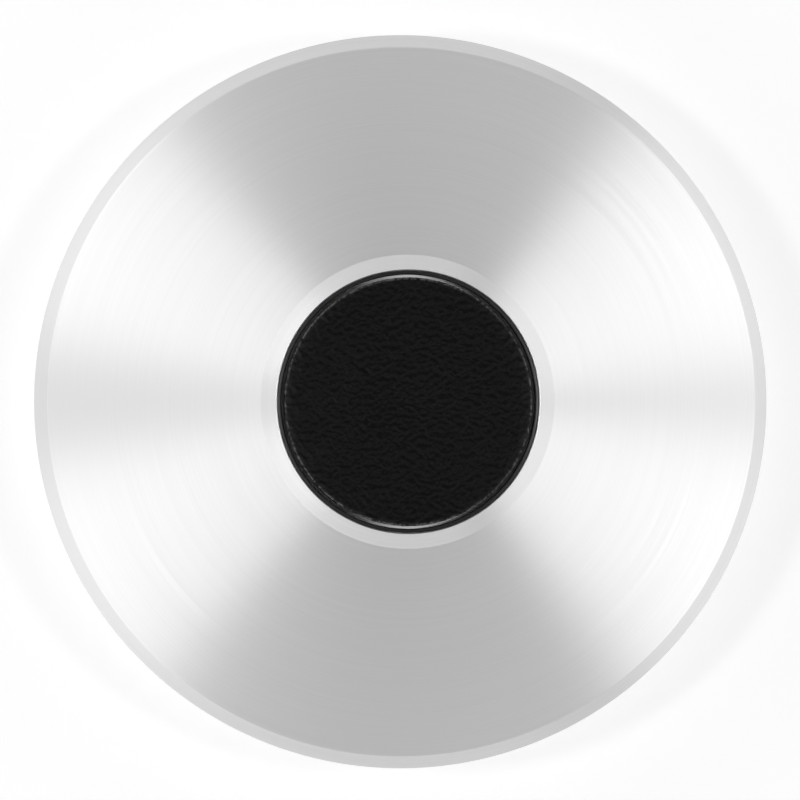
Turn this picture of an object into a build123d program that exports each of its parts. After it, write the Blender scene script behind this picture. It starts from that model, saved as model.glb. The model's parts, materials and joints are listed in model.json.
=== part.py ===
from build123d import *
import math
import os

# A record weight: one turned aluminium body that stands over the spindle on a record's label.
# Its conical flank rises to a bevelled collar, whose pocket holds a black ring and a leather disc.
# A leather pad is let into the underside.
# +Z is the turning axis, and Z = 0 is the plane of the label. All sizes are in millimetres.

# Outside of the body
outer_radius = 40.0
side_height = 10.0
base_bevel = 0.6
rim_bevel = 1.4
flank_slope = 30.0  # degrees above the horizontal
collar_bevel = 1.6
lip_width = 0.1

# Pocket in the collar, with its ring and its leather disc
pocket_radius = 14.0
pocket_depth = 1.2
ring_clearance = 0.05
ring_wall = 0.45
ring_round = 0.35
leather_gap = 0.35
leather_proud = 0.5
leather_round = 0.35

# Underside of the body, with its pad
pad_border = 3.0  # metal left between the pad's recess and the side
pad_recess_depth = 0.9
pad_clearance = 0.1
pad_proud = 0.6

# Blind bore for the spindle
bore_radius = 3.65
bore_mouth_bevel = 1.0
bore_border = 7.35  # metal left between the bore's mouth and the pad's recess
bore_crown = 3.0  # metal left between the bore's point and the pocket's floor
drill_point_angle = 118.0  # degrees across the cone

# Heights and radii that follow from them
base_z = pad_proud
side_top_z = base_z + side_height
rim_z = side_top_z + rim_bevel
rim_radius = outer_radius - rim_bevel
lip_radius = pocket_radius + lip_width
collar_radius = lip_radius + collar_bevel
collar_z = rim_z + (rim_radius - collar_radius) * math.tan(math.radians(flank_slope))
lip_z = collar_z + collar_bevel
pocket_floor_z = lip_z - pocket_depth
pad_recess_z = base_z + pad_recess_depth
bore_tip_z = pocket_floor_z - bore_crown
bore_end_z = bore_tip_z - bore_radius / math.tan(math.radians(drill_point_angle / 2))

# Radii of the pieces in the pocket, of the bore's mouth, and of the pad in its recess
ring_outer_radius = pocket_radius - ring_clearance
ring_inner_radius = ring_outer_radius - ring_wall
leather_radius = ring_inner_radius - leather_gap
bore_mouth_radius = bore_radius + bore_mouth_bevel
pad_recess_outer_radius = outer_radius - pad_border
pad_recess_inner_radius = bore_mouth_radius + bore_border
pad_outer_radius = pad_recess_outer_radius - pad_clearance
pad_inner_radius = pad_recess_inner_radius + pad_clearance


def turned(points, rounded=None, radius=0.0):
    """A solid of revolution about Z, from a half section of (radius, height) points.

    The corner at the point `rounded`, where one is given, gets that radius.
    """
    with BuildPart() as solid:
        with BuildSketch(Plane.XZ):
            with BuildLine():
                Polyline(*points, close=True)
            make_face()
            if rounded:
                fillet(vertices().sort_by_distance(rounded)[0], radius)
        revolve(axis=Axis.Z)
    return solid.part


def ring_section(inner, outer, low, high):
    """The half section of a plain ring or disc, from its inner lower corner round to its inner upper one."""
    return [(inner, low), (outer, low), (outer, high), (inner, high)]


def weight_body():
    """The turned body, less its pocket, its pad recess and the spindle bore."""
    outside = turned(
        [
            (0, base_z),
            (outer_radius - base_bevel, base_z),
            (outer_radius, base_z + base_bevel),
            (outer_radius, side_top_z),
            (rim_radius, rim_z),
            (collar_radius, collar_z),
            (lip_radius, lip_z),
            (0, lip_z),
        ]
    )
    pocket = turned(ring_section(0, pocket_radius, pocket_floor_z, lip_z))
    pad_recess = turned(
        ring_section(pad_recess_inner_radius, pad_recess_outer_radius, base_z, pad_recess_z)
    )
    spindle_bore = turned(
        [
            (0, base_z),
            (bore_mouth_radius, base_z),
            (bore_radius, base_z + bore_mouth_bevel),
            (bore_radius, bore_end_z),
            (0, bore_tip_z),
        ]
    )
    return outside - pocket - pad_recess - spindle_bore


def trim_ring():
    """The black ring that lines the pocket, rounded towards the leather."""
    section = ring_section(ring_inner_radius, ring_outer_radius, pocket_floor_z, lip_z)
    return turned(section, rounded=section[3], radius=ring_round)


def leather_inlay():
    """The leather disc on the pocket's floor, standing a little proud of the lip."""
    section = ring_section(0, leather_radius, pocket_floor_z, lip_z + leather_proud)
    return turned(section, rounded=section[2], radius=leather_round)


def label_pad():
    """The die-cut pad in its recess, which is what the weight stands on."""
    return turned(ring_section(pad_inner_radius, pad_outer_radius, 0, pad_recess_z))


pieces = [weight_body, trim_ring, leather_inlay, label_pad]

os.makedirs("parts", exist_ok=True)
for piece in pieces:
    export_step(piece(), f"parts/{piece.__name__}.step")
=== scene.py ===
import json
import math

import bmesh
import bpy
from mathutils import Matrix, Vector, noise


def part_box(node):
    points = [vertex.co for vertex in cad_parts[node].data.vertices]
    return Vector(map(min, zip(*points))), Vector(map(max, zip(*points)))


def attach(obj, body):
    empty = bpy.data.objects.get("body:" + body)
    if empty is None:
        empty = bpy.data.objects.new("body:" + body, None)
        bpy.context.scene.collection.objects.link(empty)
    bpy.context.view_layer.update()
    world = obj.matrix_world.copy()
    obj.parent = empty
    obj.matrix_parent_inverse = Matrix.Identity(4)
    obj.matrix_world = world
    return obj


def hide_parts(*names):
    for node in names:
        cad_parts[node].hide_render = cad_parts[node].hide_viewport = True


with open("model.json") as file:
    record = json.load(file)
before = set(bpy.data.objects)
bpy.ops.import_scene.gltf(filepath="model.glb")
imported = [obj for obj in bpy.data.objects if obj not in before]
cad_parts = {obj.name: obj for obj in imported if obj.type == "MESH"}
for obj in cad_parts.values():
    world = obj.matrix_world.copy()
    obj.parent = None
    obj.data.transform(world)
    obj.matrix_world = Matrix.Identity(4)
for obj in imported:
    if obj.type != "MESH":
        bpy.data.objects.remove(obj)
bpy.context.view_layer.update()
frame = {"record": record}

bl_info = {
    "name": "Record Weight",
    "version": (1, 0, 0),
    "blender": (4, 5, 0),
    "location": "View3D > Sidebar > Record Weight",
    "description": "Builds a turned record weight with a leather inlay, and a studio to show it in",
    "category": "Add Mesh",
}

# The CAD model's box and the places of its nodes, in metres
BODY_LOW, BODY_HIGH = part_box("weight_body")
RING_LOW, RING_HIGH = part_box("trim_ring")
LEATHER_LOW, LEATHER_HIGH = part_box("leather_inlay")
PAD_LOW, PAD_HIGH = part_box("label_pad")
MOUNTS = {mount["name"]: mount for mount in frame["record"]["mounts"]}
BORE = MOUNTS["spindle_bore"]

MILLIMETRE = 0.001
MERGE_DISTANCE = 0.0005 * MILLIMETRE
FULL_TURN = 2 * math.pi
WHITE = (1.0, 1.0, 1.0, 1.0)

# The UV map that the turned body's finishes follow
UV_NAME = "OFBake"

# Materials of the turned body's faces, in order
FINE_TURNED, BRIGHT_CUT, BARE_POCKET = range(3)

# Faces whose normals rise by a share between these are the rim's and the collar's bevels
BEVEL_NORMAL_LOW, BEVEL_NORMAL_HIGH = 0.6, 0.8

# Features of the finishes, to the metre
GROOVES_PER_METRE = 3400.0
GROOVE_DRIFTS_PER_METRE = 28.0
POCKET_GRIT_PER_METRE = 9000.0
RUBBER_MOULD_PER_METRE = 5000.0
RUBBER_WEAR_PER_METRE = 400.0
LEATHER_PORES_PER_METRE = 6000.0
SUEDE_FIBRES_PER_METRE = 4000.0
SUEDE_PATCHES_PER_METRE = 180.0
NAP_TUFTS_PER_METRE = 1500

# How much darker a turning mark is, and how much rougher or smoother
MARK_SHADE = 0.968
MARK_ROUGHNESS = 0.025

# The leather's pores are longer along X, and its painted shade and tone, mostly painted shading on one side
# of each wrinkle, adds a share to its tone
PORE_STRETCH = (0.55, 1.0, 1.0)
PAINTED_SHADE_AND_TONE_SHARE = 0.5

# Values on each of the leather's vertices: its painted shade and tone, and how much of its colour is cut
# fibres
PAINTED_SHADE_AND_TONE_NAME = "painted_shade_and_tone"
FIBRES_NAME = "fibres"

# How far the leather's wrinkles wander, and where the noise is read that moves them along X and along Y
FLOW_REACH = 0.6 * MILLIMETRE
FLOWS_PER_METRE = 240
FLOW_SHIFTS = (Vector((9.3, -1.5, -7.9)), Vector((6.3, 0.2, -2.7)))

# The finer grain that is added to the wrinkles, and the height of a full ridge
FINE_GRAIN_SHARE = 0.5
FINE_GRAIN_SCALE = 2
FINE_GRAIN_SHIFT = Vector((5, 3, 0))
RIDGE_HEIGHT = 0.7

# The leather's painted shade and tone: a level, painted shading by the wrinkle's slope, a share in random
# patches and a painted sheen at both sides along X
SLOPE_REACH = 0.12 * MILLIMETRE
PAINTED_SHADE_AND_TONE_LEVEL = 0.42
TONE_PATCHES_PER_METRE = 150
TONE_PATCH_SHARE = 0.1
PAINTED_SIDE_SHEEN_SHARE = 0.25

# The fibres at the leather's cut edge, and how far that edge strays, as shares of its ragged edge
CUT_FIBRES_PER_METRE = 4000
CUT_FIBRES_LOW, CUT_FIBRES_HIGH = -0.35, 0.45
STRAYS_PER_METRE = 2500
STRAY_MEAN, STRAY_SPAN = 0.6, 0.4

# The floor, and the share and level of the white that the camera and reflections see in it
FLOOR_RADIUS = 3.0
FLOOR_WHITE_SHARE = 0.3
FLOOR_WHITE_LEVEL = 1.97

# The soft boxes stand in pairs, this far round from the right and the left, in degrees
RIGHT_BOX_TURN = 26.2
LEFT_BOX_TURN = 30.5

# Width and height of the small lights high above, in metres
HIGH_LIGHT_SIZE = (0.08, 0.08)

# The picture: its side, the weight's radius in it and how far its middle lies off, in pixels
IMAGE_SIDE_PIXELS = 800.0
SILHOUETTE_RADIUS_PIXELS = 367.0
ACROSS_PIXELS, DOWN_PIXELS = 1.45, 1.7


# Settings


def length(name, description, default):
    """A length property, in metres."""
    return bpy.props.FloatProperty(
        name=name,
        description=description,
        default=default,
        min=0.0,
        precision=5,
        subtype="DISTANCE",
        unit="LENGTH",
    )


def angle(name, description, degrees):
    """An angle property, whose default is given in degrees."""
    return bpy.props.FloatProperty(
        name=name,
        description=description,
        default=math.radians(degrees),
        subtype="ANGLE",
        unit="ROTATION",
    )


def amount(name, description, default):
    """A plain number that is never negative."""
    return bpy.props.FloatProperty(name=name, description=description, default=default, min=0.0)


def colour(name, description, grey):
    """A colour property, whose default is a grey of that level."""
    return bpy.props.FloatVectorProperty(
        name=name,
        description=description,
        default=(grey, grey, grey),
        size=3,
        min=0.0,
        max=1.0,
        subtype="COLOR",
    )


class TurnedBodySettings(bpy.types.PropertyGroup):
    """Sizes and colour of the turned body."""

    base_bevel: length("Base bevel", "Height of the bevel round the foot of the side", 0.6 * MILLIMETRE)
    rim_bevel: length("Rim bevel", "Height of the bevel between the side and the flank", 1.4 * MILLIMETRE)
    flank_slope: angle("Flank slope", "Slope of the conical flank above the horizontal", 30)
    collar_bevel: length("Collar bevel", "Height of the bevel round the collar", 1.6 * MILLIMETRE)
    lip_width: length("Lip width", "Flat land between the collar's bevel and the pocket", 0.1 * MILLIMETRE)
    broken_edge: length("Broken edge", "Size of the small break on each sharp edge", 0.06 * MILLIMETRE)
    ring_clearance: length("Ring clearance", "Gap between the pocket's wall and the ring", 0.05 * MILLIMETRE)
    pad_clearance: length("Pad clearance", "Gap between the label pad and its recess", 0.1 * MILLIMETRE)
    drill_point: angle("Drill point", "Angle across the cone at the end of the spindle bore", 118)
    metal: colour("Metal", "Colour of the aluminium", 0.8)


class TrimRingSettings(bpy.types.PropertyGroup):
    """Sizes and colour of the trim ring."""

    wall: length("Wall", "Width of the ring, seen from above", 0.4 * MILLIMETRE)
    slope: angle("Slope", "Slope of the ring's top towards the leather", 22)
    inner_round: length("Inner round", "Radius of the ring's edge towards the leather", 0.15 * MILLIMETRE)
    outer_round: length("Outer round", "Radius of the ring's edge towards the lip", 0.09 * MILLIMETRE)
    rubber: colour("Rubber", "Colour of the rubber", 0.012)


class LeatherInlaySettings(bpy.types.PropertyGroup):
    """Sizes and colours of the leather disc."""

    edge_round: length("Edge round", "Radius of the disc's upper edge", 0.35 * MILLIMETRE)
    edge_drop: length("Edge drop", "How far the face curves down towards its edge", 0.3 * MILLIMETRE)
    edge_width: length("Edge width", "Width of the border where the face curves down", 1.5 * MILLIMETRE)
    wrinkle_size: length("Wrinkle size", "Half the distance from wrinkle to wrinkle", 0.47 * MILLIMETRE)
    wrinkle_stretch: amount("Wrinkle stretch", "How much longer than wide a wrinkle is", 1.4)
    wrinkle_depth: length("Wrinkle depth", "Depth of the wrinkles", 0.11 * MILLIMETRE)
    ragged_edge: length("Ragged edge", "How far the cut edge strays from a circle", 0.14 * MILLIMETRE)
    leather: colour("Leather", "Colour of the leather's face", 0.0039)
    cut_edge: colour("Cut edge", "Colour of the fibres at the cut edge", 0.19)


class LabelPadSettings(bpy.types.PropertyGroup):
    """Sizes and colour of the label pad."""

    inner_radius: length("Inner radius", "Radius of the hole in the pad", 12.1 * MILLIMETRE)
    edge_round: length("Edge round", "Radius of the pad's lower edges", 0.12 * MILLIMETRE)
    nap_depth: length("Nap depth", "Depth of the suede's nap on the underside", 0.05 * MILLIMETRE)
    suede: colour("Suede", "Colour of the suede", 0.03)


class StudioSettings(bpy.types.PropertyGroup):
    """The floor, the light and the camera."""

    floor: colour("Floor", "Colour of the floor", 0.92)
    camera_distance: length("Camera distance", "From the camera to the point that it aims at", 0.69)
    camera_slant: angle("Camera slant", "How far the view slants from straight down, towards -X", 2.7)
    camera_aim_height: length("Aim height", "Height of the point that the camera aims at", 11 * MILLIMETRE)
    left_light: amount("Left light", "Radiance of the two soft boxes at the left", 0.97)
    right_light: amount("Right light", "Radiance of the two soft boxes at the right", 1.27)
    left_high_light: amount("Left high light", "Radiance of the small light high at the left", 28.0)
    right_high_light: amount("Right high light", "Radiance of the small light high at the right", 21.0)
    horizon_light: amount("Horizon light", "Radiance of the surroundings near the horizon", 0.865)
    ceiling_light: amount("Ceiling light", "Radiance of the surroundings overhead", 0.015)


class RecordWeightSettings(bpy.types.PropertyGroup):
    """Everything that a user would change."""

    body: bpy.props.PointerProperty(
        name="Turned body", description="Settings of the turned body", type=TurnedBodySettings
    )
    ring: bpy.props.PointerProperty(
        name="Trim ring", description="Settings of the trim ring", type=TrimRingSettings
    )
    leather: bpy.props.PointerProperty(
        name="Leather inlay", description="Settings of the leather disc", type=LeatherInlaySettings
    )
    pad: bpy.props.PointerProperty(
        name="Label pad", description="Settings of the label pad", type=LabelPadSettings
    )
    studio: bpy.props.PointerProperty(
        name="Studio", description="Settings of the floor, the light and the camera", type=StudioSettings
    )


# Shapes


def half_section(points, closed=False):
    """A bmesh with a chain of edges through (radius, height) points, and back to the first if closed."""
    section = bmesh.new()
    corners = [section.verts.new((radius, 0, height)) for radius, height in points]
    if closed:
        corners.append(corners[0])
    for start, end in zip(corners, corners[1:]):
        section.edges.new((start, end))
    return section


def corner_at(section, point):
    """The vertex of a half section nearest to a (radius, height) point."""
    place = Vector((point[0], 0, point[1]))
    return min(section.verts, key=lambda vertex: (vertex.co - place).length)


def divide(section, start, end, cuts):
    """Cuts the edge between two points of a half section into equal lengths."""
    edge = section.edges.get((corner_at(section, start), corner_at(section, end)))
    bmesh.ops.subdivide_edges(section, edges=[edge], cuts=cuts)


def round_corners(section, points, size, segments):
    """Rounds the corners of a half section at some points."""
    bmesh.ops.bevel(
        section,
        geom=[corner_at(section, point) for point in points],
        offset=size,
        offset_type="OFFSET",
        segments=segments,
        profile=0.5,
        affect="VERTICES",
        material=-1,
        clamp_overlap=True,
    )


def measure(section, start):
    """Stores on each vertex of a half section its share of the way along the chain from a point."""
    along = section.verts.layers.float.new("along")
    travelled = 0.0
    before, here = None, corner_at(section, start)
    while here is not None:
        here[along] = travelled
        neighbours = [edge.other_vert(here) for edge in here.link_edges]
        onward = next((vertex for vertex in neighbours if vertex is not before), None)
        if onward is not None:
            travelled += (onward.co - here.co).length
        before, here = here, onward
    for vertex in section.verts:
        vertex[along] /= travelled
    return along


def spin_round(section, steps_in_eighth):
    """Spins a half section about Z into a closed shape whose faces point outwards.

    A long spin is slow, so only an eighth of the turn is spun, and it is doubled three times.
    """
    doublings = 3
    swept = FULL_TURN / 2 ** doublings
    bmesh.ops.spin(
        section,
        geom=section.verts[:] + section.edges[:],
        cent=(0, 0, 0),
        axis=(0, 0, 1),
        angle=swept,
        steps=steps_in_eighth,
    )
    for _ in range(doublings):
        spun = section.verts[:] + section.edges[:] + section.faces[:]
        copied = bmesh.ops.duplicate(section, geom=spun)["geom"]
        corners = [part for part in copied if isinstance(part, bmesh.types.BMVert)]
        bmesh.ops.rotate(section, verts=corners, matrix=Matrix.Rotation(swept, 3, "Z"))
        swept *= 2
    bmesh.ops.remove_doubles(section, verts=section.verts, dist=MERGE_DISTANCE)
    bmesh.ops.recalc_face_normals(section, faces=section.faces)


def unroll(shape, along):
    """Lays a spun shape out flat in a UV map, with U along its half section and V round the axis."""
    layer = shape.loops.layers.uv.new(UV_NAME)
    for face in shape.faces:
        middle = face.calc_center_median()
        middle_turn = math.atan2(middle.y, middle.x) % FULL_TURN
        for loop in face.loops:
            place = loop.vert.co
            turn = middle_turn
            if place.xy.length > MERGE_DISTANCE:
                turn = math.atan2(place.y, place.x)
                turn += FULL_TURN * round((middle_turn - turn) / FULL_TURN)
            loop[layer].uv = (loop.vert[along], turn / FULL_TURN)


def add_piece(name, shape, materials, node, sharp_degrees):
    """Turns a finished bmesh into a piece that stands for a CAD node and rides on the one body."""
    if any(not edge.is_manifold for edge in shape.edges):
        raise RuntimeError(f"{name} isn't a closed shape")
    for face in shape.faces:
        face.smooth = True
    mesh = bpy.data.meshes.new(name)
    shape.to_mesh(mesh)
    shape.free()
    mesh.set_sharp_from_angle(angle=math.radians(sharp_degrees))
    for material in materials:
        mesh.materials.append(material)
    piece = bpy.data.objects.new(name, mesh)
    bpy.context.scene.collection.objects.link(piece)
    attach(piece, "root")
    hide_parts(node)


# Materials


def add_node(tree, kind, inputs=None, **settings):
    """Adds a shader node with its settings, and gives each named input a value or a link."""
    made = tree.nodes.new(kind)
    for name, value in settings.items():
        setattr(made, name, value)
    for name, value in (inputs or {}).items():
        if isinstance(value, bpy.types.NodeSocket):
            tree.links.new(value, made.inputs[name])
        else:
            made.inputs[name].default_value = value
    return made


def calculate(tree, operation, *numbers):
    """The result of an operation on some numbers, each a value or a link."""
    inputs = dict(enumerate(numbers))
    return add_node(tree, "ShaderNodeMath", inputs, operation=operation).outputs["Value"]


def start_material(name, **constants):
    """A new material, its node tree and its shader, whose constant inputs are set by name."""
    material = bpy.data.materials.new(name)
    material.use_nodes = True
    tree = material.node_tree
    shader = tree.nodes["Principled BSDF"]
    for socket, value in constants.items():
        shader.inputs[socket.replace("_", " ")].default_value = value
    return material, tree, shader


def link_inputs(tree, shader, **sources):
    """Links the shader's inputs, by name, to what drives them."""
    for socket, source in sources.items():
        tree.links.new(source, shader.inputs[socket.replace("_", " ")])


def object_place(tree):
    """The Object coordinates."""
    return add_node(tree, "ShaderNodeTexCoord").outputs["Object"]


def section_tangent(tree):
    """The direction along the half section, from the piece's UV map."""
    return add_node(tree, "ShaderNodeTangent", direction_type="UV_MAP", uv_map=UV_NAME).outputs["Tangent"]


def scaled_noise(tree, place, scale, detail=3.0, roughness=0.55):
    """Noise at a number of features to the metre."""
    inputs = {"Vector": place, "Scale": scale, "Detail": detail, "Roughness": roughness}
    return add_node(tree, "ShaderNodeTexNoise", inputs).outputs["Fac"]


def spread(tree, value, low, high, start=0.3, end=0.7):
    """Maps a value from start..end to low..high."""
    inputs = {"Value": value, "From Min": start, "From Max": end, "To Min": low, "To Max": high}
    return add_node(tree, "ShaderNodeMapRange", inputs).outputs["Result"]


def shades(tree, value, dark, light, start=0.3, end=0.7):
    """A colour between two, by a value."""
    ramp = add_node(tree, "ShaderNodeValToRGB", {"Fac": value})
    for element, position, shade in zip(ramp.color_ramp.elements, (start, end), (dark, light)):
        element.position = position
        element.color = (*shade, 1.0)
    return ramp.outputs["Color"]


def bump(tree, height, depth):
    """A normal for relief of a depth in metres."""
    inputs = {"Height": height, "Distance": depth, "Strength": 1.0}
    return add_node(tree, "ShaderNodeBump", inputs).outputs["Normal"]


def tinted(base, factor):
    """A colour made darker or lighter by a factor."""
    return tuple(min(1.0, level * factor) for level in base)


def turning_marks(tree):
    """Fine grooves round the axis: they follow the tool's feed, and drift a little round each turn."""
    place = object_place(tree)
    flat = add_node(tree, "ShaderNodeVectorMath", {0: place, 1: (1, 1, 0)}, operation="MULTIPLY")
    radius = add_node(tree, "ShaderNodeVectorMath", {0: flat.outputs["Vector"]}, operation="LENGTH")
    height = add_node(tree, "ShaderNodeSeparateXYZ", {"Vector": place}).outputs["Z"]
    feed = calculate(tree, "SUBTRACT", radius.outputs["Value"], height)
    grooves = calculate(tree, "MULTIPLY", feed, GROOVES_PER_METRE)
    drift = add_node(
        tree,
        "ShaderNodeVectorMath",
        {0: flat.outputs["Vector"], "Scale": GROOVE_DRIFTS_PER_METRE},
        operation="SCALE",
    )
    drift_parts = add_node(tree, "ShaderNodeSeparateXYZ", {"Vector": drift.outputs["Vector"]})
    track = add_node(
        tree,
        "ShaderNodeCombineXYZ",
        {"X": grooves, "Y": drift_parts.outputs["X"], "Z": drift_parts.outputs["Y"]},
    )
    return scaled_noise(tree, track.outputs["Vector"], scale=1.0, detail=4.0, roughness=0.65)


def turned_metal(name, base, roughness, anisotropy, groove_depth):
    """Aluminium with turning marks, whose gloss spreads across the grooves."""
    material, tree, shader = start_material(name, Metallic=1.0, Anisotropic=anisotropy)
    marks = turning_marks(tree)
    link_inputs(
        tree,
        shader,
        Tangent=section_tangent(tree),
        Base_Color=shades(tree, marks, dark=tinted(base, MARK_SHADE), light=base),
        Roughness=spread(tree, marks, low=roughness + MARK_ROUGHNESS, high=roughness - MARK_ROUGHNESS),
        Normal=bump(tree, marks, groove_depth),
    )
    return material


def pocket_metal(base):
    """The pocket's floor, which keeps the rings of its cutter and shines along them."""
    material, tree, shader = start_material(
        "bare_pocket_metal", Metallic=1.0, Anisotropic=0.58, Anisotropic_Rotation=0.25
    )
    grit = scaled_noise(tree, object_place(tree), POCKET_GRIT_PER_METRE)
    link_inputs(
        tree,
        shader,
        Tangent=section_tangent(tree),
        Base_Color=shades(tree, grit, dark=tinted(base, 0.9), light=base),
        Roughness=spread(tree, grit, low=0.44, high=0.38),
        Normal=bump(tree, grit, depth=0.002 * MILLIMETRE),
    )
    return material


def satin_rubber(base):
    """Black rubber with a fine moulded surface."""
    material, tree, shader = start_material("satin_black_rubber", Specular_IOR_Level=0.8)
    place = object_place(tree)
    mould = scaled_noise(tree, place, RUBBER_MOULD_PER_METRE)
    wear = scaled_noise(tree, place, RUBBER_WEAR_PER_METRE)
    link_inputs(
        tree,
        shader,
        Base_Color=shades(tree, wear, dark=tinted(base, 0.7), light=tinted(base, 1.3)),
        Roughness=spread(tree, mould, low=0.38, high=0.46),
        Normal=bump(tree, mould, depth=0.006 * MILLIMETRE),
    )
    return material


def grained_leather(base, cut_edge):
    """Black leather: one side of each wrinkle has painted light and the other painted shade, and the cut
    edge has paler fibres.
    """
    material, tree, shader = start_material("black_grained_leather", Specular_IOR_Level=0.17)
    painted_shade_and_tone = add_node(tree, "ShaderNodeAttribute", attribute_name=PAINTED_SHADE_AND_TONE_NAME).outputs["Fac"]
    fibres = add_node(tree, "ShaderNodeAttribute", attribute_name=FIBRES_NAME).outputs["Fac"]
    stretched = add_node(tree, "ShaderNodeMapping", {"Vector": object_place(tree), "Scale": PORE_STRETCH})
    pores = scaled_noise(tree, stretched.outputs["Vector"], LEATHER_PORES_PER_METRE)
    specks = spread(tree, pores, low=0.2, high=0.85)
    # The tone adds the painted shade and tone of the vertices to random specks
    tone = calculate(tree, "MULTIPLY_ADD", painted_shade_and_tone, PAINTED_SHADE_AND_TONE_SHARE, specks)
    face = shades(tree, tone, dark=tinted(base, 0.1), light=tinted(base, 1.9), start=0.49, end=1.0)
    colours = {"Fac": fibres, "Color1": face, "Color2": (*cut_edge, 1.0)}
    link_inputs(
        tree,
        shader,
        Base_Color=add_node(tree, "ShaderNodeMixRGB", colours).outputs["Color"],
        # Places with more painted light are also made glossier
        Roughness=spread(tree, painted_shade_and_tone, low=0.8, high=0.5, start=0.0, end=1.0),
        Normal=bump(tree, pores, depth=0.012 * MILLIMETRE),
    )
    return material


def pad_suede(base):
    """Dark suede, with fibres that lie in patches."""
    material, tree, shader = start_material("dark_pad_suede", Specular_IOR_Level=0.2, Sheen_Weight=0.25)
    place = object_place(tree)
    fibres = scaled_noise(tree, place, SUEDE_FIBRES_PER_METRE, detail=5.0, roughness=0.7)
    patches = scaled_noise(tree, place, SUEDE_PATCHES_PER_METRE)
    link_inputs(
        tree,
        shader,
        Base_Color=shades(tree, patches, dark=tinted(base, 0.6), light=tinted(base, 1.4)),
        Roughness=spread(tree, fibres, low=0.85, high=1.0),
        Normal=bump(tree, fibres, depth=0.05 * MILLIMETRE),
    )
    return material


# Pieces


def body_section(settings, pad):
    """The body's half section, from the bore's tip to the pocket's middle, and its layer from measure."""
    outer = BODY_HIGH.x
    base, lip_z = BODY_LOW.z, BODY_HIGH.z
    pocket_radius = RING_HIGH.x + settings.ring_clearance
    lip_radius = pocket_radius + settings.lip_width
    collar_radius = lip_radius + settings.collar_bevel
    collar_z = lip_z - settings.collar_bevel
    rim_radius = outer - settings.rim_bevel
    rim_z = collar_z - (rim_radius - collar_radius) * math.tan(settings.flank_slope)
    floor_z = RING_LOW.z
    recess_outer = PAD_HIGH.x + settings.pad_clearance
    recess_inner = pad.inner_radius - settings.pad_clearance
    bore_radius = BORE["dims"]["r_mm"] * MILLIMETRE
    bore_low = BORE["pos_m"][2]
    bore_end = bore_low + BORE["dims"]["length_mm"] * MILLIMETRE
    bore_tip = bore_end + bore_radius / math.tan(settings.drill_point / 2)

    bore = [(0, bore_tip), (bore_radius, bore_end)]
    bore_mouth = [(bore_radius, bore_low), (bore_radius + bore_low - base, base)]
    recess = [
        (recess_inner, base),
        (recess_inner, PAD_HIGH.z),
        (recess_outer, PAD_HIGH.z),
        (recess_outer, base),
    ]
    side = [
        (outer - settings.base_bevel, base),
        (outer, base + settings.base_bevel),
        (outer, rim_z - settings.rim_bevel),
    ]
    rim, collar = (rim_radius, rim_z), (collar_radius, collar_z)
    lip = [(lip_radius, lip_z), (pocket_radius, lip_z)]
    pocket = [(pocket_radius, floor_z), (0, floor_z)]
    section = half_section(bore + bore_mouth + recess + side + [rim, collar] + lip + pocket)
    divide(section, rim, collar, cuts=15)
    sharp_edges = bore_mouth + [recess[0], recess[-1]] + side + [rim]
    round_corners(section, sharp_edges, settings.broken_edge, segments=3)
    lip_round = settings.lip_width / 3
    round_corners(section, lip, lip_round, segments=2)
    along = measure(section, bore[0])
    return section, along


def mark_body_finishes(shape, settings):
    """Gives each face of the body its finish: the upper bevels, the pocket, and all the rest."""
    pocket_radius = RING_HIGH.x + settings.ring_clearance
    floor_z = RING_LOW.z
    for face in shape.faces:
        middle = face.calc_center_median()
        if BEVEL_NORMAL_LOW < face.normal.z < BEVEL_NORMAL_HIGH:
            face.material_index = BRIGHT_CUT
        elif middle.xy.length < pocket_radius and middle.z > floor_z - MERGE_DISTANCE:
            face.material_index = BARE_POCKET
        else:
            face.material_index = FINE_TURNED


def body_metals(metal):
    """The body's materials, in the order of its finishes."""
    fine_turned = turned_metal(
        "turned_aluminium",
        metal,
        roughness=0.35,
        anisotropy=0.3,
        groove_depth=0.0006 * MILLIMETRE,
    )
    bright_cut = turned_metal(
        "bright_cut_aluminium",
        tinted(metal, 0.89),
        roughness=0.36,
        anisotropy=0.4,
        groove_depth=0.0005 * MILLIMETRE,
    )
    bare_pocket = pocket_metal(tinted(metal, 1.05))
    return [fine_turned, bright_cut, bare_pocket]


class RECORDWEIGHT_OT_turned_body(bpy.types.Operator):
    """Build the turned body, with its collar, its pocket, its pad recess and the spindle bore"""

    bl_idname = "record_weight.turned_body"
    bl_label = "Turned Body"

    def execute(self, context):
        settings = context.scene.record_weight.body
        section, along = body_section(settings, context.scene.record_weight.pad)
        spin_round(section, steps_in_eighth=45)
        unroll(section, along)
        mark_body_finishes(section, settings)
        metals = body_metals(settings.metal)
        add_piece("turned_body", section, metals, "weight_body", sharp_degrees=3)
        return {"FINISHED"}


class RECORDWEIGHT_OT_trim_ring(bpy.types.Operator):
    """Build the black ring that lines the pocket"""

    bl_idname = "record_weight.trim_ring"
    bl_label = "Trim Ring"

    def execute(self, context):
        settings = context.scene.record_weight.ring
        outer = RING_HIGH.x
        inner = outer - settings.wall
        low, high = RING_LOW.z, RING_HIGH.z
        inner_edge = (inner, high - settings.wall * math.tan(settings.slope))
        outer_edge = (outer, high)
        section = half_section([(inner, low), (outer, low), outer_edge, inner_edge], closed=True)
        round_corners(section, [inner_edge], settings.inner_round, segments=8)
        round_corners(section, [outer_edge], settings.outer_round, segments=4)
        spin_round(section, steps_in_eighth=32)
        material = satin_rubber(settings.rubber)
        add_piece("trim_ring", section, [material], "trim_ring", sharp_degrees=40)
        return {"FINISHED"}


def smooth_step(value, start, end):
    """0 below start, 1 above end, and an even curve between them."""
    part = min(1.0, max(0.0, (value - start) / (end - start)))
    return part * part * (3 - 2 * part)


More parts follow.
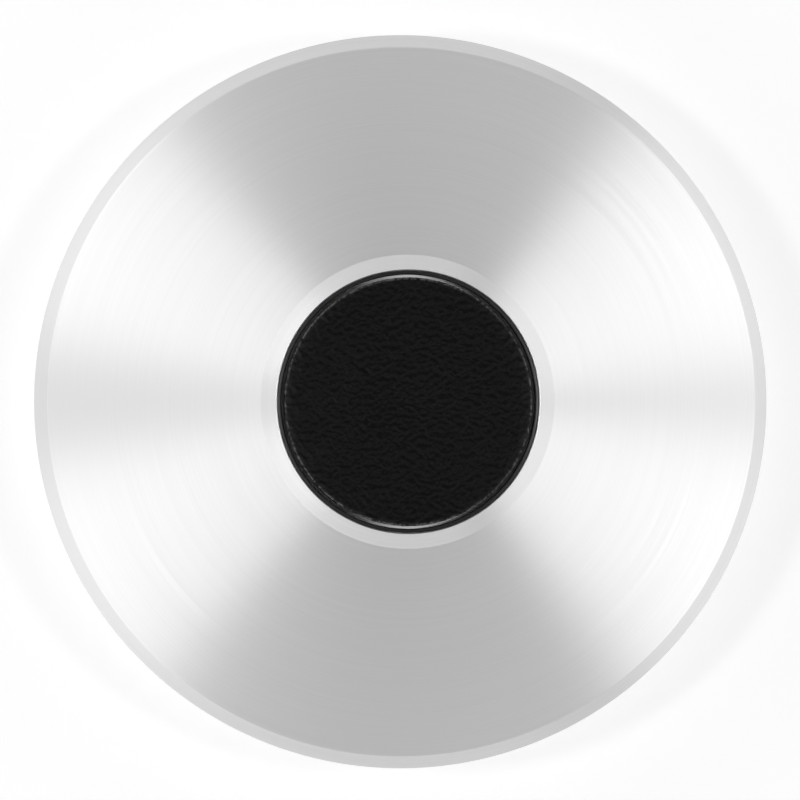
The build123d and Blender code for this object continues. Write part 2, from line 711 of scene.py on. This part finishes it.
def wrinkled_grain(place, settings):
    """Height of the grain at a place on the leather, from about -1 in a wrinkle to 1 on a ridge."""
    flat = Vector((place.x, place.y, 0))
    drift = [noise.noise(flat * FLOWS_PER_METRE + shift) for shift in FLOW_SHIFTS]
    flow = flat + FLOW_REACH * Vector((*drift, 0))
    stretched = Vector((flow.x / settings.wrinkle_stretch, flow.y, 0)) / settings.wrinkle_size
    fine = noise.noise(FINE_GRAIN_SCALE * stretched + FINE_GRAIN_SHIFT)
    return noise.noise(stretched) + FINE_GRAIN_SHARE * fine


def painted_shade_and_tone_at(place, settings):
    """The painted shade and tone at a place on the leather, about 0 to 1: painted shading, lighter on one
    side of each wrinkle and darker on the other, random patches, and a painted sheen towards both sides
    along X.
    """
    # Painted shading: lighter where the wrinkle rises towards +Y, darker where it falls
    ahead = Vector((0, SLOPE_REACH, 0))
    slope = wrinkled_grain(place + ahead, settings) - wrinkled_grain(place - ahead, settings)
    patch = noise.noise(Vector((place.x, place.y, 0)) * TONE_PATCHES_PER_METRE)
    # Painted sheen, lighter towards the left and the right of the disc
    side_sheen = (place.x / LEATHER_HIGH.x) ** 2
    return PAINTED_SHADE_AND_TONE_LEVEL + slope + TONE_PATCH_SHARE * patch + PAINTED_SIDE_SHEEN_SHARE * side_sheen


def wrinkle_leather(shape, settings):
    """Sinks the leather's wrinkles, curves its face down towards the edge and makes the edge ragged.

    Each vertex also keeps its painted shade and tone, and how much of its colour is cut fibres.
    """
    outer = LEATHER_HIGH.x
    low, high = LEATHER_LOW.z, LEATHER_HIGH.z
    edge_start, edge_end = outer - 0.5 * settings.edge_round, outer - 0.15 * settings.edge_round
    upper_start, upper_end = high - settings.edge_round, high - 0.4 * settings.edge_round
    painted_shade_and_tone = shape.verts.layers.float.new(PAINTED_SHADE_AND_TONE_NAME)
    fibres = shape.verts.layers.float.new(FIBRES_NAME)
    for vertex in shape.verts:
        place = vertex.co.copy()
        height = smooth_step(wrinkled_grain(place, settings), -RIDGE_HEIGHT, RIDGE_HEIGHT)
        edge = smooth_step(place.xy.length, edge_start, edge_end)
        upper = smooth_step(place.z, upper_start, upper_end)
        cut_fibre = noise.noise(place * CUT_FIBRES_PER_METRE)
        # The painted shade and tone of this vertex
        vertex[painted_shade_and_tone] = painted_shade_and_tone_at(place, settings)
        vertex[fibres] = edge * upper * smooth_step(cut_fibre, CUT_FIBRES_LOW, CUT_FIBRES_HIGH)
        if place.z > low + MERGE_DISTANCE:
            border = max(0.0, place.xy.length - outer + settings.edge_width) / settings.edge_width
            drop = settings.wrinkle_depth * (1 - height) + settings.edge_drop * border ** 2
            vertex.co.z -= drop * smooth_step(place.z, low, high)
            stray = STRAY_MEAN + STRAY_SPAN * noise.noise(place * STRAYS_PER_METRE)
            vertex.co.xy += place.xy.normalized() * (settings.ragged_edge * stray * edge)
    bmesh.ops.recalc_face_normals(shape, faces=shape.faces)


class RECORDWEIGHT_OT_leather_inlay(bpy.types.Operator):
    """Build the leather disc, with its wrinkled face and its ragged cut edge"""

    bl_idname = "record_weight.leather_inlay"
    bl_label = "Leather Inlay"

    def execute(self, context):
        settings = context.scene.record_weight.leather
        outer = LEATHER_HIGH.x
        low, high = LEATHER_LOW.z, LEATHER_HIGH.z
        section = half_section([(0, low), (outer, low), (outer, high), (0, high)])
        round_corners(section, [(outer, high)], settings.edge_round, segments=6)
        divide(section, (outer - settings.edge_round, high), (0, high), cuts=165)
        divide(section, (outer, low), (outer, high - settings.edge_round), cuts=5)
        spin_round(section, steps_in_eighth=66)
        wrinkle_leather(section, settings)
        material = grained_leather(settings.leather, settings.cut_edge)
        add_piece("leather_inlay", section, [material], "leather_inlay", sharp_degrees=60)
        return {"FINISHED"}


class RECORDWEIGHT_OT_label_pad(bpy.types.Operator):
    """Build the suede pad that the weight stands on"""

    bl_idname = "record_weight.label_pad"
    bl_label = "Label Pad"

    def execute(self, context):
        settings = context.scene.record_weight.pad
        outer, inner = PAD_HIGH.x, settings.inner_radius
        low, high = PAD_LOW.z, PAD_HIGH.z
        lower_edges = [(inner, low), (outer, low)]
        section = half_section(lower_edges + [(outer, high), (inner, high)], closed=True)
        divide(section, *lower_edges, cuts=90)
        round_corners(section, lower_edges, settings.edge_round, segments=3)
        spin_round(section, steps_in_eighth=60)
        for vertex in section.verts:
            if vertex.co.z < low + settings.nap_depth:
                nap = 0.5 + 0.5 * noise.noise(vertex.co * NAP_TUFTS_PER_METRE)
                vertex.co.z += settings.nap_depth * nap
        material = pad_suede(settings.suede)
        add_piece("label_pad", section, [material], "label_pad", sharp_degrees=40)
        return {"FINISHED"}


# Studio


def add_floor(settings):
    """A pale floor, which the camera and reflections see as white, with the weight's shadow on it."""
    shape = bmesh.new()
    bmesh.ops.create_circle(shape, cap_ends=True, segments=96, radius=FLOOR_RADIUS)
    mesh = bpy.data.meshes.new("studio_floor")
    shape.to_mesh(mesh)
    shape.free()
    material = bpy.data.materials.new("pale_floor")
    material.use_nodes = True
    tree = material.node_tree
    tree.nodes.clear()
    rays = add_node(tree, "ShaderNodeLightPath")
    seen = rays.outputs["Is Camera Ray"]
    for kind in ("Is Glossy Ray", "Is Transmission Ray"):
        seen = calculate(tree, "MAXIMUM", seen, rays.outputs[kind])
    whiteness = calculate(tree, "MULTIPLY", seen, FLOOR_WHITE_SHARE)
    matt = add_node(tree, "ShaderNodeBsdfDiffuse", {"Color": (*settings.floor, 1.0)}).outputs["BSDF"]
    white = add_node(tree, "ShaderNodeEmission", {"Color": WHITE, "Strength": FLOOR_WHITE_LEVEL})
    blend = add_node(tree, "ShaderNodeMixShader", {0: whiteness, 1: matt, 2: white.outputs["Emission"]})
    add_node(tree, "ShaderNodeOutputMaterial", {"Surface": blend.outputs["Shader"]})
    mesh.materials.append(material)
    floor = bpy.data.objects.new("studio_floor", mesh)
    bpy.context.scene.collection.objects.link(floor)


def add_soft_box(name, turn, rise, size, radiance, distance=0.6):
    """A soft box that faces the weight, from angles round it and above it in degrees.

    Its size, a width and a height, and its distance are in metres.
    """
    width, tall = size
    lamp = bpy.data.lights.new(name, "AREA")
    lamp.shape = "RECTANGLE"
    lamp.size, lamp.size_y = width, tall
    lamp.energy = radiance * math.pi * width * tall
    light = bpy.data.objects.new(name, lamp)
    turn, rise = math.radians(turn), math.radians(rise)
    around = Vector((math.cos(turn), math.sin(turn), 0)) * math.cos(rise)
    light.location = distance * (around + Vector((0, 0, math.sin(rise))))
    light.rotation_euler = (-light.location).to_track_quat("-Z", "Y").to_euler()
    light.visible_camera = False
    bpy.context.scene.collection.objects.link(light)


def add_lights(settings):
    """Two soft boxes on each side, and a small strong light high above each pair."""
    for place, sign in (("front", -1), ("back", 1)):
        add_soft_box(
            f"right_{place}_soft_box",
            turn=sign * RIGHT_BOX_TURN,
            rise=18,
            size=(0.47, 0.212),
            radiance=settings.right_light,
        )
    for place, sign in (("back", -1), ("front", 1)):
        add_soft_box(
            f"left_{place}_soft_box",
            turn=180 + sign * LEFT_BOX_TURN,
            rise=22,
            size=(0.25, 0.165),
            radiance=settings.left_light,
            distance=0.36,
        )
    add_soft_box(
        "right_high_light",
        turn=0,
        rise=60,
        size=HIGH_LIGHT_SIZE,
        radiance=settings.right_high_light,
    )
    add_soft_box(
        "left_high_light",
        turn=180,
        rise=57,
        size=HIGH_LIGHT_SIZE,
        radiance=settings.left_high_light,
    )


def add_surroundings(settings):
    """A world that is pale at the horizon and dark overhead.

    Its horizon has a dark patch beyond each right soft box, and is a little paler at the left.
    Where each of these starts and ends is given by the direction's share along X or Z.
    """
    world = bpy.data.worlds.new("studio_surroundings")
    bpy.context.scene.world = world
    world.use_nodes = True
    tree = world.node_tree
    tree.nodes.clear()
    direction = add_node(tree, "ShaderNodeTexCoord").outputs["Generated"]
    parts = add_node(tree, "ShaderNodeSeparateXYZ", {"Vector": direction})
    across, height = parts.outputs["X"], parts.outputs["Z"]
    patch = spread(tree, height, low=1.0, high=0.0, start=0.1, end=0.3)
    for outside, inside in ((0.4, 0.54), (0.76, 0.64)):
        side = spread(tree, across, low=0.0, high=1.0, start=outside, end=inside)
        patch = calculate(tree, "MULTIPLY", patch, side)
    patch_light = 0.25 * settings.horizon_light
    horizon = spread(tree, patch, low=settings.horizon_light, high=patch_light, start=0.0, end=1.0)
    left_rise = spread(tree, across, low=1.18, high=1.0, start=-0.5, end=-0.1)
    horizon = calculate(tree, "MULTIPLY", horizon, left_rise)
    level = spread(tree, height, low=horizon, high=settings.ceiling_light, start=0.45, end=0.64)
    background = add_node(tree, "ShaderNodeBackground", {"Color": WHITE, "Strength": level})
    add_node(tree, "ShaderNodeOutputWorld", {"Surface": background.outputs["Background"]})


def add_camera(settings):
    """The camera, nearly straight above, with the weight framed as in the photograph."""
    camera = bpy.data.cameras.new("camera")
    pixels_per_metre = SILHOUETTE_RADIUS_PIXELS / BODY_HIGH.x
    camera.lens = camera.sensor_width * pixels_per_metre * settings.camera_distance / IMAGE_SIDE_PIXELS
    eye = bpy.data.objects.new("camera", camera)
    slant = settings.camera_slant
    across, down = ACROSS_PIXELS / pixels_per_metre, DOWN_PIXELS / pixels_per_metre
    aim = Vector((-across, down, settings.camera_aim_height))
    eye.location = aim + settings.camera_distance * Vector((-math.sin(slant), 0, math.cos(slant)))
    eye.rotation_euler = (0, -slant, 0)
    bpy.context.scene.collection.objects.link(eye)
    bpy.context.scene.camera = eye


class RECORDWEIGHT_OT_studio(bpy.types.Operator):
    """Build the floor, the lights, the surroundings and the camera"""

    bl_idname = "record_weight.studio"
    bl_label = "Studio"

    def execute(self, context):
        settings = context.scene.record_weight.studio
        context.scene.view_settings.view_transform = "Standard"
        add_floor(settings)
        add_lights(settings)
        add_surroundings(settings)
        add_camera(settings)
        return {"FINISHED"}


# Panel and registration

BUILD_STEPS = [
    ("body", RECORDWEIGHT_OT_turned_body.bl_idname),
    ("ring", RECORDWEIGHT_OT_trim_ring.bl_idname),
    ("leather", RECORDWEIGHT_OT_leather_inlay.bl_idname),
    ("pad", RECORDWEIGHT_OT_label_pad.bl_idname),
    ("studio", RECORDWEIGHT_OT_studio.bl_idname),
]


class RECORDWEIGHT_PT_panel(bpy.types.Panel):
    """Sizes, colours and build buttons of the record weight"""

    bl_idname = "RECORDWEIGHT_PT_panel"
    bl_label = "Record Weight"
    bl_space_type = "VIEW_3D"
    bl_region_type = "UI"
    bl_category = "Record Weight"

    def draw(self, context):
        settings = context.scene.record_weight
        for name, operator in BUILD_STEPS:
            box = self.layout.box()
            group = getattr(settings, name)
            for setting in group.bl_rna.properties:
                if setting.identifier not in ("rna_type", "name"):
                    box.prop(group, setting.identifier)
            box.operator(operator)


CLASSES = [
    TurnedBodySettings,
    TrimRingSettings,
    LeatherInlaySettings,
    LabelPadSettings,
    StudioSettings,
    RecordWeightSettings,
    RECORDWEIGHT_OT_turned_body,
    RECORDWEIGHT_OT_trim_ring,
    RECORDWEIGHT_OT_leather_inlay,
    RECORDWEIGHT_OT_label_pad,
    RECORDWEIGHT_OT_studio,
    RECORDWEIGHT_PT_panel,
]


def register():
    """Registers the classes, and gives each scene its settings."""
    for cls in CLASSES:
        bpy.utils.register_class(cls)
    bpy.types.Scene.record_weight = bpy.props.PointerProperty(type=RecordWeightSettings)


def unregister():
    """Takes back what register did."""
    del bpy.types.Scene.record_weight
    for cls in reversed(CLASSES):
        bpy.utils.unregister_class(cls)


def main():
    """Builds the pieces and the studio."""
    register()
    bpy.ops.record_weight.turned_body()
    bpy.ops.record_weight.trim_ring()
    bpy.ops.record_weight.leather_inlay()
    bpy.ops.record_weight.label_pad()
    bpy.ops.record_weight.studio()


if __name__ == "__main__":
    main()
